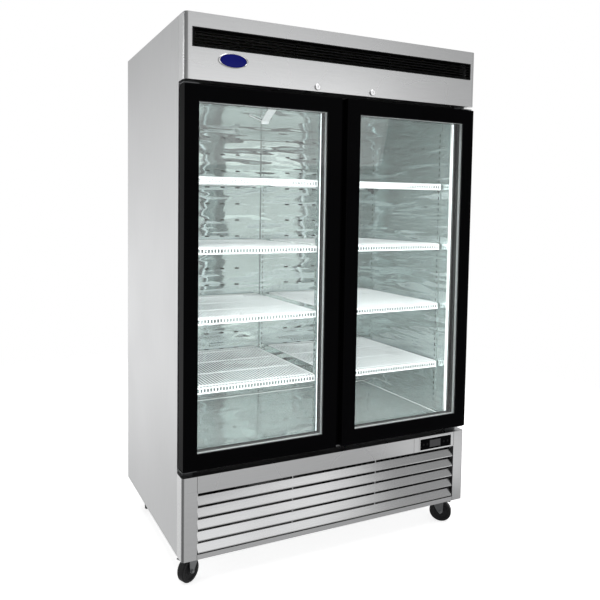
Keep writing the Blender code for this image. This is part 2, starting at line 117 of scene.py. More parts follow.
# Light bars: glow of the diffuser, and the power and size of each bar's light
LED_GLOW = 1.5
LED_POWER = 1.15
LED_SIZE = (0.02, 1.28)

# Wire shelves
WIRE_R = 0.0022
WIRE_PITCH = 0.0135
ROD_R = 0.0030
LIP_DROP = 0.024
LIP_BEND = 0.006
LIP_STEPS = 3
ROD_INSET = 0.015

# Slots of the air duct
DUCT_COLUMNS = (0.140, 0.220, 0.300)
DUCT_TOP = 1.770
DUCT_PITCH = 0.080
DUCT_ROWS = 15
SLOT_SIZE = (0.023, 0.007)
SHEET = 0.0015

# Rear post on the duct sheet: half its width, and how far it stands out
REAR_POST_HALF = 0.012
REAR_POST_OUT = 0.0085

# Face of a wheel: radius and distance from its middle
HUB_FACE = (
    (0.0052, 0.0176),
    (0.0135, 0.0176),
    (0.0150, 0.0165),
    (0.0170, 0.0124),
    (0.0300, 0.0124),
    (0.0315, 0.0135),
    (0.0345, 0.0158),
)

# Painted shade in black on the front flange of the liner, black sealant in the glass spacer, black on the
# front of the foam
FLANGE_SHADE_DEPTH = 0.0012
SEALANT_DEPTH = 0.012
FOAM_BLACK_DEPTH = 0.004
LINER_METALLIC = 0.85

# Slotted uprights, and half the width of the centre post that carries two of them
MULLION_HALF = 0.030
POST_W = 0.020
POST_DEPTH = 0.0035
POST_SLOT = (0.0045, 0.013)
POST_PITCH = 0.026
POST_FRONT_Y = -0.250
POST_REAR_Y = 0.243
CENTRE_POST_Y = -0.252

# Probe guard at the ceiling: ends (x, y), half width, and the grid of its holes
GUARD_ENDS = ((-0.186, -0.139), (-0.069, 0.165))
GUARD_HALF = 0.018
GUARD_GRID = (23, 4)
GUARD_PITCH = (0.0132, 0.0084)
GUARD_HOLE = (0.0086, 0.0056)
GUARD_LIP = 0.013
GUARD_STAY = (-0.200, 0.062)

# Badge: middle of the oval (x, z), half its width and height, and the outlines of field and rim
BADGE_AT = (-0.483, 1.954)
BADGE_HALF = (0.059, 0.0265)
BADGE_FIELD = ((0, -0.0042), (0.60, -0.0040), (0.86, -0.0034), (0.90, -0.0028), (0.90, 0.0))
BADGE_RIM = ((0.88, -0.0026), (0.91, -0.0040), (0.96, -0.0042), (1.0, -0.0032), (1.0, 0.0002))

# Tops of the hinge plates, above the lowest point of each bracket with its pin
HINGE_PLATES = (("hinge_top", 0.0210), ("hinge_bottom", 0.0175))

# Casters: underside of the plates, spread of the bolts, and the turned outlines of bolt and nut
PLATE_Z = 0.1150
BOLT_SPREAD = (0.038, 0.032)
BOLT = ((0, -0.0052), (0.0060, -0.0052), (0.0066, -0.0044), (0.0066, 0.0005))
NUT = ((0, 0.0290), (0.0050, 0.0290), (0.0062, 0.0282), (0.0062, 0.0222))

# Display: margin of the bezel, and the turned outline of a button
BEZEL_MARGIN = 0.006
BUTTON = ((0, -0.0018), (0.0045, -0.0016), (0.0055, -0.0008), (0.0055, 0.0004))

# Seams on the lower frame: how far they stand out, their depth, and where the louvre window ends
SEAM_OUT = 0.00025
SEAM_IN = 0.0004
WINDOW_Z = (0.1400, 0.3745)


# ---------------------------------------------------------------- materials


def principled(name, colour, metallic=0.0, roughness=0.5, **more):
    """A new material with its Principled shader set to plain values."""
    material = bpy.data.materials.new(name)
    material.use_nodes = True
    shader = material.node_tree.nodes["Principled BSDF"]
    shader.inputs["Base Color"].default_value = (*colour, 1)
    shader.inputs["Metallic"].default_value = metallic
    shader.inputs["Roughness"].default_value = roughness
    for key, value in more.items():
        shader.inputs[key.replace("_", " ")].default_value = value
    return material, shader


def noise(material, scale, stretch=(1, 1, 1), detail=4.0, rough=0.55):
    """Noise in the object's own coordinates, drawn out by stretch; gives its 0 to 1 output."""
    nodes, links = material.node_tree.nodes, material.node_tree.links
    place = nodes.new("ShaderNodeTexCoord")
    mapping = nodes.new("ShaderNodeMapping")
    mapping.inputs["Scale"].default_value = stretch
    texture = nodes.new("ShaderNodeTexNoise")
    texture.inputs["Scale"].default_value = scale
    texture.inputs["Detail"].default_value = detail
    texture.inputs["Roughness"].default_value = rough
    links.new(place.outputs["Object"], mapping.inputs["Vector"])
    links.new(mapping.outputs["Vector"], texture.inputs["Vector"])
    return texture.outputs["Fac"]


def spread(material, source, low, high):
    """Maps the middle of a noise, 0.3 to 0.7, to low and high."""
    node = material.node_tree.nodes.new("ShaderNodeMapRange")
    node.inputs["From Min"].default_value = 0.3
    node.inputs["From Max"].default_value = 0.7
    node.inputs["To Min"].default_value = low
    node.inputs["To Max"].default_value = high
    material.node_tree.links.new(source, node.inputs["Value"])
    return node.outputs["Result"]


def mixed(material, factor, dark, light):
    """A colour between two, by a 0 to 1 factor."""
    node = material.node_tree.nodes.new("ShaderNodeMix")
    node.data_type = "RGBA"
    node.inputs["A"].default_value = (*dark, 1)
    node.inputs["B"].default_value = (*light, 1)
    material.node_tree.links.new(factor, node.inputs["Factor"])
    return node.outputs["Result"]


def bump(material, shader, height, strength, distance, before=None):
    """Relief from a height, on top of another normal if one is given; gives its normal."""
    node = material.node_tree.nodes.new("ShaderNodeBump")
    node.inputs["Strength"].default_value = strength
    node.inputs["Distance"].default_value = distance
    links = material.node_tree.links
    links.new(height, node.inputs["Height"])
    if before:
        links.new(before, node.inputs["Normal"])
    links.new(node.outputs["Normal"], shader.inputs["Normal"])
    return node.outputs["Normal"]


def brushed_steel(name, grain, tint=(0.60, 0.605, 0.61), rough=0.30, flat=False):
    """Stainless sheet brushed along the grain axis. A flat one is shaded by each face's own normal."""
    material, shader = principled(name, tint, 1.0, rough)
    stretch = {"X": (1, 60, 60), "Y": (60, 1, 60), "Z": (60, 60, 1)}[grain]
    lines = noise(material, 9.0, stretch, 4.0, 0.6)
    cloud = noise(material, 2.2, (1, 1, 1), 2.0, 0.5)
    links = material.node_tree.links
    dark = tuple(0.96 * c for c in tint)
    light = tuple(min(1.0, 1.03 * c) for c in tint)
    links.new(mixed(material, spread(material, lines, 0, 1), dark, light), shader.inputs["Base Color"])
    links.new(spread(material, cloud, rough - 0.03, rough + 0.04), shader.inputs["Roughness"])
    shape = material.node_tree.nodes.new("ShaderNodeNewGeometry") if flat else None
    bump(material, shader, lines, 0.04, 0.0003, shape and shape.outputs["True Normal"])
    return material


def polished_steel(name, tint=(0.58, 0.66, 0.65)):
    """Bright, slightly wavy sheet of the cold compartment."""
    material, shader = principled(name, tint, LINER_METALLIC, 0.08)
    links = material.node_tree.links
    haze = noise(material, 5.0, (1, 1, 1), 3.0, 0.5)
    links.new(spread(material, haze, 0.03, 0.07), shader.inputs["Roughness"])
    links.new(
        mixed(material, spread(material, haze, 0, 1), tuple(0.94 * c for c in tint), tint),
        shader.inputs["Base Color"],
    )
    slow = noise(material, 5.0, (0.8, 0.8, 5.0), 1.0, 0.4)
    normal = bump(material, shader, slow, 0.75, 0.010)
    fine = noise(material, 30.0, (0.5, 0.5, 20), 3.0, 0.6)
    bump(material, shader, fine, 0.02, 0.0003, normal)
    return material


def liner_with_painted_shade():
    """The liner's steel, with painted shade in black on the flange that the door gaskets close on."""
    material = polished_steel("liner_with_painted_shade")
    nodes, links = material.node_tree.nodes, material.node_tree.links
    shader = nodes["Principled BSDF"]
    rear = behind(material, "inner_liner", FLANGE_SHADE_DEPTH)
    # Painted shade: the flange in the shadow of the door gap is made black, dull and not metallic
    flange_painted_shade = {"Base Color": (0.010, 0.010, 0.011, 1), "Roughness": (0.5, 0.5, 0.5, 1)}
    for socket, plain in flange_painted_shade.items():
        source = shader.inputs[socket].links[0].from_socket
        mix = nodes.new("ShaderNodeMix")
        mix.data_type = "RGBA"
        mix.inputs["A"].default_value = plain
        links.new(source, mix.inputs["B"])
        links.new(rear, mix.inputs["Factor"])
        links.new(mix.outputs["Result"], shader.inputs[socket])
    metal = nodes.new("ShaderNodeMath")
    metal.operation = "MULTIPLY"
    metal.inputs[1].default_value = LINER_METALLIC
    links.new(rear, metal.inputs[0])
    links.new(metal.outputs["Value"], shader.inputs["Metallic"])
    return material


def painted(name, colour, rough, grain=90.0, relief=0.05, vary=0.06, coat=0.0, shine=0.5):
    """Paint or moulded plastic: slightly uneven gloss and colour, fine orange peel."""
    material, shader = principled(name, colour, 0.0, rough)
    shader.inputs["Specular IOR Level"].default_value = shine
    shader.inputs["Coat Weight"].default_value = coat
    links = material.node_tree.links
    patch = noise(material, 6.0, (1, 1, 1), 4.0, 0.6)
    peel = noise(material, grain, (1, 1, 1), 2.0, 0.5)
    light = tuple(min(1.0, c * (1 + 2 * vary)) for c in colour)
    dark = tuple(c * (1 - vary) for c in colour)
    links.new(mixed(material, spread(material, patch, 0, 1), dark, light), shader.inputs["Base Color"])
    links.new(spread(material, patch, rough * 0.85, rough * 1.25), shader.inputs["Roughness"])
    bump(material, shader, peel, relief, 0.0008)
    return material


def plated(name, tint=(0.74, 0.75, 0.76), rough=0.30):
    """Zinc or chrome plating with a faint mottle."""
    material, shader = principled(name, tint, 1.0, rough)
    links = material.node_tree.links
    mottle = noise(material, 70.0, (1, 1, 1), 5.0, 0.65)
    dark = tuple(0.82 * c for c in tint)
    links.new(mixed(material, spread(material, mottle, 0, 1), dark, tint), shader.inputs["Base Color"])
    links.new(spread(material, mottle, rough * 0.75, rough * 1.35), shader.inputs["Roughness"])
    bump(material, shader, mottle, 0.03, 0.0005)
    return material


def pane_glass():
    """Clear glass with a trace of green and of uneven gloss. Lamps shine through it."""
    material, shader = principled("pane_glass", (0.965, 0.985, 0.975), 0.0, 0.0, IOR=1.45)
    shader.inputs["Transmission Weight"].default_value = 1.0
    smear = noise(material, 3.0, (1, 1, 0.4), 3.0, 0.6)
    material.node_tree.links.new(spread(material, smear, 0.0, 0.012), shader.inputs["Roughness"])
    return material


def lamp_strip():
    """Milky light bar that glows evenly, a little brighter at each diode behind it."""
    material, shader = principled("lamp_strip", (0.85, 0.87, 0.88), 0.0, 0.4)
    nodes, links = material.node_tree.nodes, material.node_tree.links
    place = nodes.new("ShaderNodeTexCoord")
    wave = nodes.new("ShaderNodeTexWave")
    wave.bands_direction = "Z"
    wave.inputs["Scale"].default_value = 10.0
    links.new(place.outputs["Object"], wave.inputs["Vector"])
    shader.inputs["Emission Color"].default_value = (0.90, 0.97, 1.0, 1)
    glow = spread(material, wave.outputs["Fac"], 0.85 * LED_GLOW, 1.1 * LED_GLOW)
    links.new(glow, shader.inputs["Emission Strength"])
    return material


def behind(material, node, depth):
    """1 where the surface of a CAD node lies behind this depth from its front, else 0."""
    nodes, links = material.node_tree.nodes, material.node_tree.links
    place = nodes.new("ShaderNodeTexCoord")
    split = nodes.new("ShaderNodeSeparateXYZ")
    links.new(place.outputs["Object"], split.inputs["Vector"])
    edge = nodes.new("ShaderNodeMath")
    edge.operation = "GREATER_THAN"
    edge.inputs[1].default_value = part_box(node)[0].y + depth - NODES[node].matrix_world.translation.y
    links.new(split.outputs["Y"], edge.inputs[0])
    return edge.outputs["Value"]


def spacer_bar():
    """Spacer between the panes: white metal towards the front, black sealant on its rear half."""
    material, shader = principled("spacer_bar", (0.72, 0.75, 0.75), 0.0, 0.4)
    links = material.node_tree.links
    rear = behind(material, "glass_spacer_left", SEALANT_DEPTH)
    colour = mixed(material, rear, (0.76, 0.79, 0.79), (0.010, 0.012, 0.012))
    links.new(colour, shader.inputs["Base Color"])
    grain = noise(material, 200.0, (1, 1, 1), 2.0, 0.5)
    links.new(spread(material, grain, 0.34, 0.46), shader.inputs["Roughness"])
    return material


def foam_core():
    """Yellowish foam, black over its front where it faces the doors."""
    yellow = (0.78, 0.70, 0.44)
    material, shader = principled("foam", yellow, 0.0, 0.9)
    links = material.node_tree.links
    rear = behind(material, "insulation_shell", FOAM_BLACK_DEPTH)
    # Black over the foam's front few millimetres, where it faces the doors
    colour = mixed(material, rear, (0.004, 0.004, 0.004), yellow)
    links.new(colour, shader.inputs["Base Color"])
    grain = noise(material, 300.0, (1, 1, 1), 2.0, 0.5)
    links.new(spread(material, grain, 0.8, 0.95), shader.inputs["Roughness"])
    bump(material, shader, grain, 0.5, 0.0008)
    return material


def rubber(name, colour=(0.035, 0.035, 0.037), rough=0.62):
    return painted(name, colour, rough, grain=220.0, relief=0.15, vary=0.15)


# ---------------------------------------------------------------- mesh tools


def piece(name, bm, material, body="cabinet", bevel=0.0, solid=0.0, angle=35):
    """An object of the mesh, riding on a body. It is smooth below the angle, and flat if solidified."""
    bmesh.ops.recalc_face_normals(bm, faces=bm.faces)
    mesh = bpy.data.meshes.new(name)
    bm.to_mesh(mesh)
    bm.free()
    mesh.materials.append(material)
    mesh.polygons.foreach_set("use_smooth", [not solid] * len(mesh.polygons))
    if not solid:
        mesh.set_sharp_from_angle(angle=math.radians(angle))
    item = bpy.data.objects.new(name, mesh)
    SCENE.collection.objects.link(item)
    if solid:
        sheet = item.modifiers.new("sheet", "SOLIDIFY")
        sheet.thickness = solid
        sheet.offset = 0
    if bevel:
        edge = item.modifiers.new("edge", "BEVEL")
        edge.width = bevel
        edge.segments = 2
        edge.limit_method = "ANGLE"
        edge.angle_limit = math.radians(40)
    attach(item, body)
    return item


def block(bm, x0, x1, y0, y1, z0, z1):
    """A box between these planes."""
    size = Matrix.Diagonal((abs(x1 - x0), y1 - y0, z1 - z0, 1))
    middle = Matrix.Translation(((x0 + x1) / 2, (y0 + y1) / 2, (z0 + z1) / 2))
    bmesh.ops.create_cube(bm, size=1, matrix=middle @ size)


def tube(bm, points, radius, sides=8):
    """A round wire along the points, with closed ends."""
    points = [Vector(p) for p in points]
    rings = []
    normal = None
    for i, point in enumerate(points):
        ahead = points[min(i + 1, len(points) - 1)] - points[max(i - 1, 0)]
        ahead.normalize()
        if normal is None:
            seed = Vector((1, 0, 0)) if abs(ahead.x) < 0.9 else Vector((0, 0, 1))
            normal = seed.cross(ahead).normalized()
        normal = (normal - ahead * normal.dot(ahead)).normalized()
        other = ahead.cross(normal)
        ring = []
        for k in range(sides):
            t = 2 * math.pi * k / sides
            ring.append(bm.verts.new(point + radius * (math.cos(t) * normal + math.sin(t) * other)))
        rings.append(ring)
    for one, two in zip(rings, rings[1:]):
        for k in range(sides):
            j = (k + 1) % sides
            bm.faces.new((one[k], one[j], two[j], two[k]))
    bm.faces.new(rings[0][::-1])
    bm.faces.new(rings[-1])


def turned(bm, outline, centre, axis="Z", steps=32):
    """Turns (radius, height) points about an axis; the outline starts and ends on the axis."""
    place = {
        "X": lambda r, t, h: (h, r * math.cos(t), r * math.sin(t)),
        "Y": lambda r, t, h: (r * math.cos(t), h, r * math.sin(t)),
        "Z": lambda r, t, h: (r * math.cos(t), r * math.sin(t), h),
    }[axis]
    rings = []
    for radius, height in outline:
        count = 1 if radius < 1e-6 else steps
        ring = []
        for i in range(count):
            spot = Vector(centre) + Vector(place(radius, 2 * math.pi * i / steps, height))
            ring.append(bm.verts.new(spot))
        rings.append(ring)
    for one, two in zip(rings, rings[1:]):
        for i in range(steps):
            j = (i + 1) % steps
            corners = [one[i % len(one)], one[j % len(one)], two[j % len(two)], two[i % len(two)]]
            unique = list(dict.fromkeys(corners))
            if len(unique) > 2:
                bm.faces.new(unique)


def holed_sheet(bm, u_range, v_range, holes, place):
    """A flat sheet with rectangular holes. holes are (u0, u1, v0, v1); place gives a 3D point."""
    us = sorted({*u_range, *(u for hole in holes for u in hole[:2])})
    vs = sorted({*v_range, *(v for hole in holes for v in hole[2:])})
    verts = {}

    def corner(u, v):
        if (u, v) not in verts:
            verts[u, v] = bm.verts.new(place(u, v))
        return verts[u, v]

    open_cells = {(hole[0], hole[2]) for hole in holes}
    for u0, u1 in zip(us, us[1:]):
        for v0, v1 in zip(vs, vs[1:]):
            if (u0, v0) in open_cells:
                continue
            bm.faces.new((corner(u0, v0), corner(u1, v0), corner(u1, v1), corner(u0, v1)))


def screw_head(bm, centre, axis, radius=0.0045, height=0.0018):
    """Low domed head, standing out along the signed axis, such as '-Y'."""
    out = -1 if axis[0] == "-" else 1
    outline = [(0, -0.0005 * out), (radius, -0.0005 * out), (radius, 0.3 * height * out)]
    outline += [(0.75 * radius, 0.8 * height * out), (0.35 * radius, height * out)]
    outline += [(0.30 * radius, 0.55 * height * out), (0, 0.5 * height * out)]
    turned(bm, outline, centre, axis[-1], 16)


# ---------------------------------------------------------------- paint the CAD nodes


def dress(names, material):
    """Gives CAD nodes one material."""
    for name in names:
        NODES[name].data.materials.clear()
        NODES[name].data.materials.append(material)


def both(stem):
    return [stem + "_left", stem + "_right"]


def numbered(stem, count):
    return [f"{stem}_{i + 1}" for i in range(count)]


SIDE_STEEL = brushed_steel("side_steel", "Z", tint=(0.61, 0.615, 0.62), rough=0.36)
FRONT_STEEL = brushed_steel("front_steel", "X", tint=(0.735, 0.74, 0.745), rough=0.27, flat=True)
SLAT_STEEL = brushed_steel("slat_steel", "X", tint=(0.77, 0.775, 0.78), rough=0.18)
BACK_STEEL = brushed_steel("back_steel", "X", tint=(0.55, 0.555, 0.56), rough=0.42)
LINER_STEEL = polished_steel("liner_steel")
LINER_WITH_PAINTED_SHADE = liner_with_painted_shade()
BLACK_GLOSS = painted("black_gloss", (0.0016, 0.0016, 0.0019), 0.13, shine=0.010)
BLACK_SATIN = painted("black_satin", (0.0045, 0.0048, 0.0050), 0.38, shine=0.08)
BLACK_DULL = painted("black_dull", (0.0040, 0.0040, 0.0042), 0.85, shine=0.1)
BLACK_PAINT = painted("black_paint", (0.010, 0.010, 0.011), 0.30, grain=60, relief=0.1, shine=0.3)
WHITE_COAT = painted("white_coat", (0.70, 0.72, 0.73), 0.30, grain=120, relief=0.06, vary=0.02, coat=0.2)
WHITE_PLASTIC = painted("white_plastic", (0.80, 0.81, 0.81), 0.45, vary=0.03)
FOAM = foam_core()
SEAL_RUBBER = rubber("seal_rubber")
WHEEL_RUBBER = rubber("wheel_rubber", (0.006, 0.006, 0.007), 0.5)
HUB_PLASTIC = painted("hub_plastic", (0.012, 0.012, 0.013), 0.45, vary=0.15, shine=0.2)
ZINC = plated("zinc", (0.42, 0.43, 0.44), 0.36)
DARK_ZINC = plated("dark_zinc", (0.16, 0.165, 0.17), 0.40)
CHROME = plated("chrome", (0.85, 0.85, 0.86), 0.10)
SPACER_METAL = spacer_bar()
FIN_METAL = brushed_steel("fin_metal", "Z", tint=(0.70, 0.71, 0.72), rough=0.40)
GLASS = pane_glass()
LAMP = lamp_strip()


def dress_nodes():
    dress(both("side_panel"), SIDE_STEEL)
    dress(["header_cover", "lower_front_frame"], FRONT_STEEL)
    dress([*both("hinge_top"), *both("hinge_bottom")], DARK_ZINC)
    dress(["louvre_grille"], SLAT_STEEL)
    dress(["top_panel", "back_panel", "rear_machine_cover", "deck_panel", "base_tray"], BACK_STEEL)
    dress(["inner_liner"], LINER_WITH_PAINTED_SHADE)
    dress(["air_duct_panel", "centre_mullion"], LINER_STEEL)
    dress(both("door_frame"), BLACK_GLOSS)
    dress(["header_vent_grille"], BLACK_SATIN)
    dress(["control_display"], BLACK_GLOSS)
    dress(["compressor", "condenser_fan_shroud", "condenser_fan", *both("evaporator_fan")], BLACK_PAINT)
    dress(["condenser_coil"], BLACK_PAINT)
    dress(["evaporator_coil"], FIN_METAL)
    dress(["evaporator_housing"], WHITE_PLASTIC)
    dress(["insulation_shell"], FOAM)
    dress(both("glass_outer") + both("glass_inner"), GLASS)
    dress(both("glass_spacer"), SPACER_METAL)
    dress(both("door_gasket"), SEAL_RUBBER)
    dress(both("lock"), CHROME)
    dress(numbered("led_strip", 4), WHITE_PLASTIC)
    for row in ("front", "rear"):
        dress(both("caster_fork_" + row), ZINC)
        dress(both("caster_wheel_" + row), WHEEL_RUBBER)
    for name in both("glass_outer") + both("glass_inner"):
        NODES[name].visible_shadow = False


# ---------------------------------------------------------------- inside the cabinet


def wire_shelf(label, index):
    """Coated wires from front to back that turn down at the front, on crosswise rods."""
    node = f"shelf_{label}_{index}"
    low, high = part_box(node)
    bm = bmesh.new()
    top = high.z - WIRE_R
    count = round((high.x - low.x - 2 * ROD_R) / WIRE_PITCH)
    front = low.y + WIRE_R
    for i in range(1, count):
        x = low.x + ROD_R + (high.x - low.x - 2 * ROD_R) * i / count
        path = [(x, high.y - ROD_R, top), (x, 0, top)]
        for k in range(LIP_STEPS + 1):
            t = math.pi / 2 * k / LIP_STEPS
            bend = LIP_BEND * math.sin(t), LIP_BEND * (1 - math.cos(t))
            path.append((x, front + LIP_BEND - bend[0], top - bend[1]))
        path.append((x, front, top - LIP_DROP))
        tube(bm, path, WIRE_R, 6)
    under = top - WIRE_R - 0.6 * ROD_R
    for y in (low.y + 0.035, low.y + 0.20, low.y + 0.38, high.y - 0.020):
        tube(bm, [(low.x + ROD_INSET, y, under), (high.x - ROD_INSET, y, under)], ROD_R)
    for x in (low.x + ROD_R, high.x - ROD_R):
        rim = [(x, high.y - ROD_R, top), (x, 0, top), (x, front + LIP_BEND, top)]
        rim += [(x, front, top - LIP_BEND), (x, front, top - LIP_DROP)]
        tube(bm, rim, ROD_R)
    for y, z in ((front, top - LIP_DROP), (front, top - 0.004), (high.y - ROD_R, top)):
        tube(bm, [(low.x, y, z), (high.x, y, z)], ROD_R)
    item = piece(f"wire_{node}", bm, WHITE_COAT, node, angle=60)
    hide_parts(node)


def duct_sheet():
    """The back wall that is seen: a polished sheet with rows of air slots, and black strips behind them as
    painted shade.
    """
    low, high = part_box("air_duct_panel")
    y = high.y - SHEET / 2
    half_w, half_h = SLOT_SIZE[0] / 2, SLOT_SIZE[1] / 2
    holes = []
    for row in range(DUCT_ROWS):
        z = DUCT_TOP - DUCT_PITCH * row
        for column in DUCT_COLUMNS:
            for side in (-1, 1):
                x = side * column
                holes.append((x - half_w, x + half_w, z - half_h, z + half_h))
    bm = bmesh.new()
    holed_sheet(bm, (-high.x, high.x), (low.z, high.z), holes, lambda u, v: (u, y, v))
    sheet = piece("air_duct_sheet", bm, LINER_STEEL, solid=SHEET)

    # Painted shade: black strips behind the slots, where the duct behind the sheet lies in shadow
    bm = bmesh.new()
    bottom = DUCT_TOP - DUCT_PITCH * DUCT_ROWS
    for column in DUCT_COLUMNS:
        for side in (-1, 1):
            x = side * column
            block(bm, x - 0.018, x + 0.018, y + 0.0040, y + 0.0060, bottom, DUCT_TOP + 0.02)
    shade = piece("air_duct_painted_shade", bm, BLACK_DULL)


def rear_post():
    """Slotted post up the middle of the duct sheet, with a rest for each shelf."""
    low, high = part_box("air_duct_panel")
    y = high.y - SHEET / 2
    face = y - REAR_POST_OUT
    half = REAR_POST_HALF
    bm = bmesh.new()
    for side in (-1, 1):
        for z in shelf_levels():
            block(bm, side * (half - 0.002), side * 0.050, low.y, low.y + 0.018, z - 0.010, z - 0.0005)
    slots = post_slots(low.z + 0.04, high.z - 0.04, 0.0)
    holed_sheet(bm, (-half, half), (low.z, high.z), slots, lambda u, v: (u, face, v))
    post = piece("rear_shelf_post", bm, LINER_STEEL, angle=20)
    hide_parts("air_duct_panel")

    bm = bmesh.new()
    for side in (-1, 1):
        block(bm, side * (half - 0.0008), side * half, face, y - 0.0008, low.z, high.z)
    walls = piece("rear_post_walls", bm, LINER_STEEL)


def shelf_levels():
    return [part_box(f"shelf_left_{i}")[0].z for i in SHELVES]


def post_slots(z0, z1, middle):
    """Row of upright slots for shelf clips, between two heights."""
    count = int((z1 - z0) / POST_PITCH)
    w, h = POST_SLOT
    slots = []
    for i in range(count):
        z = z0 + POST_PITCH * i
        slots.append((middle - w / 2, middle + w / 2, z, z + h))
    return slots


def side_posts():
    """Slotted channels on both side walls and on both sides of the front centre post, each with a black
    strip behind its slots as painted shade.
    """
    z0, z1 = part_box("centre_mullion")[0].z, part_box("centre_mullion")[1].z
    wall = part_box("led_strip_4")[1].x + 0.0004
    half = POST_W / 2
    spots = []
    for label, side in SIDES:
        spots.append((f"side_post_front_{label}", side * wall, -side, POST_FRONT_Y))
        spots.append((f"side_post_rear_{label}", side * wall, -side, POST_REAR_Y))
        spots.append((f"centre_post_{label}", side * MULLION_HALF, side, CENTRE_POST_Y))
    for name, x, inward, y in spots:
        bm = bmesh.new()
        slots = post_slots(z0 + 0.05, z1 - 0.05, y)
        face = x + inward * POST_DEPTH
        holed_sheet(bm, (y - half, y + half), (z0 + 0.02, z1 - 0.02), slots, lambda u, v: (face, u, v))
        for edge in (y - half, y + half):
            block(bm, min(x, face), max(x, face), edge - 0.0005, edge + 0.0005, z0 + 0.02, z1 - 0.02)
        piece(name, bm, LINER_STEEL, angle=20)
        # Painted shade: a black strip behind the slots, where the inside of the channel lies in shadow
        bm = bmesh.new()
        back = x + inward * 0.0006
        block(bm, back, back + inward * 0.0006, y - 0.0060, y + 0.0060, z0 + 0.04, z1 - 0.04)
        piece(f"{name}_shade", bm, BLACK_DULL)


def shelf_clips():
    """Bent steel clips that hook into the uprights, round each rest."""
    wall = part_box("led_strip_4")[1].x
    for label, side in SIDES:
        bm = bmesh.new()
        for z in shelf_levels():
            for y in (POST_FRONT_Y, POST_REAR_Y):
                tip = side * (wall - 0.026)
                root = side * (wall - 0.004)
                for edge in (-0.0100, 0.0086):
                    block(bm, tip, root, y + edge, y + edge + 0.0014, z - 0.016, z + 0.004)
                block(bm, root - side * 0.0015, root, y - 0.0100, y + 0.0100, z - 0.030, z - 0.011)
                block(bm, tip, root, y - 0.0100, y + 0.0100, z - 0.0135, z - 0.0120)
        item = piece(f"shelf_clips_{label}", bm, DARK_ZINC, bevel=0.0004)


def light_bars():
    """Milky diffuser on the inner face of each light strip, and the light that it gives."""
    for index, out in ((1, 1), (2, -1), (3, 1), (4, -1)):
        low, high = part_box(f"led_strip_{index}")
        face = high.x if out > 0 else low.x
        cover = face + out * 0.0012
        bm = bmesh.new()
        rear = high.y - (0.0006 if index in (2, 3) else 0.0110)
        block(bm, min(face, cover), max(face, cover), low.y + 0.0006, rear, low.z, high.z)
        bar = piece(f"light_bar_{index}", bm, LAMP, bevel=0.0005)
        bar.visible_glossy = False
        place = Vector((face + out * 0.005, high.y, (low.z + high.z) / 2))
        hidden_light(f"bar_{index}", place, place + Vector((out, 0.8, 0)), LED_SIZE, LED_POWER)


def ceiling_bracket():
    """Perforated white guard of the temperature probe: a tongue under the ceiling, its lip, and a stay."""
    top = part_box("air_duct_panel")[1].z - 0.0015
    near = Vector((*GUARD_ENDS[0], top))
    far = Vector((*GUARD_ENDS[1], top - 0.004))
    along = (far - near).normalized()
    across = Vector((along.y, -along.x, 0)).normalized()
    length, half = (far - near).length, GUARD_HALF
    holes = []
    for i in range(GUARD_GRID[0]):
        for k in range(GUARD_GRID[1]):
            u, v = 0.012 + GUARD_PITCH[0] * i, -0.0155 + GUARD_PITCH[1] * k
            holes.append((u, u + GUARD_HOLE[0], v, v + GUARD_HOLE[1]))

    def spot(u, v):
        return near + u * along + v * across

    bm = bmesh.new()
    holed_sheet(bm, (0, length), (-half, half), holes, spot)
    lip = [spot(length, -half), spot(length, half)]
    lip += [spot(length, v) - Vector((0, 0, GUARD_LIP)) for v in (half, -half)]
    bm.faces.new([bm.verts.new(p) for p in lip])
    item = piece("probe_guard", bm, WHITE_COAT, solid=0.0012)

    bm = bmesh.new()
    tube(bm, [(*GUARD_STAY, top), spot(length - 0.01, -half)], 0.0018)
    piece("probe_guard_stay", bm, WHITE_COAT)


def floor_seams():
    """Sealed joint strip where the walls of the liner meet its floor."""
    x_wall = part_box("led_strip_4")[1].x
    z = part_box("air_duct_panel")[0].z
    y0, y1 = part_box("centre_mullion")[0].y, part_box("air_duct_panel")[0].y
    bm = bmesh.new()
    for side in (-1, 1):
        x = side * x_wall
        tube(bm, [(x, y0 + 0.004, z), (x, 0, z), (x, y1, z)], 0.0016, 8)
    tube(bm, [(-x_wall, y1 + 0.006, z), (x_wall, y1 + 0.006, z)], 0.0016, 8)
    piece("floor_seams", bm, WHITE_PLASTIC)


# ---------------------------------------------------------------- doors, header and base


def glazing_beads():
    """Black rubber bead round the glass of each door."""
    reach = 0.0100
    for label, _ in SIDES:
        low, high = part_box(f"glass_spacer_{label}")
        x0, x1 = low.x + reach, high.x - reach
        z0, z1 = low.z + reach, high.z - reach
        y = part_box(f"glass_outer_{label}")[0].y - 0.0010
        bm = bmesh.new()
        corners = [(x0, z0), (x1, z0), (x1, z1), (x0, z1)]
        for (xa, za), (xb, zb) in zip(corners, corners[1:] + corners[:1]):
            tube(bm, [(xa, y, za), (xb, y, zb)], 0.0021, 8)
        body = f"door_{label}"
        piece(f"glazing_bead_{label}", bm, SEAL_RUBBER, body)


def badge():
    """Plain oval badge on the left of the header: domed blue field in a bright rim."""
    centre = Vector((BADGE_AT[0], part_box("header_cover")[0].y, BADGE_AT[1]))
    wide, tall = BADGE_HALF
    blue = painted("badge_blue", (0.003, 0.006, 0.15), 0.25, vary=0.08, shine=0.1)
    for name, outline, material in (("badge_field", BADGE_FIELD, blue), ("badge_rim", BADGE_RIM, CHROME)):
        bm = bmesh.new()
        turned(bm, outline, (0, 0, 0), "Y", 64)
        shape = Matrix.Translation(centre) @ Matrix.Diagonal((wide, 1, tall, 1))
        bmesh.ops.transform(bm, matrix=shape, verts=bm.verts)
        piece(name, bm, material)


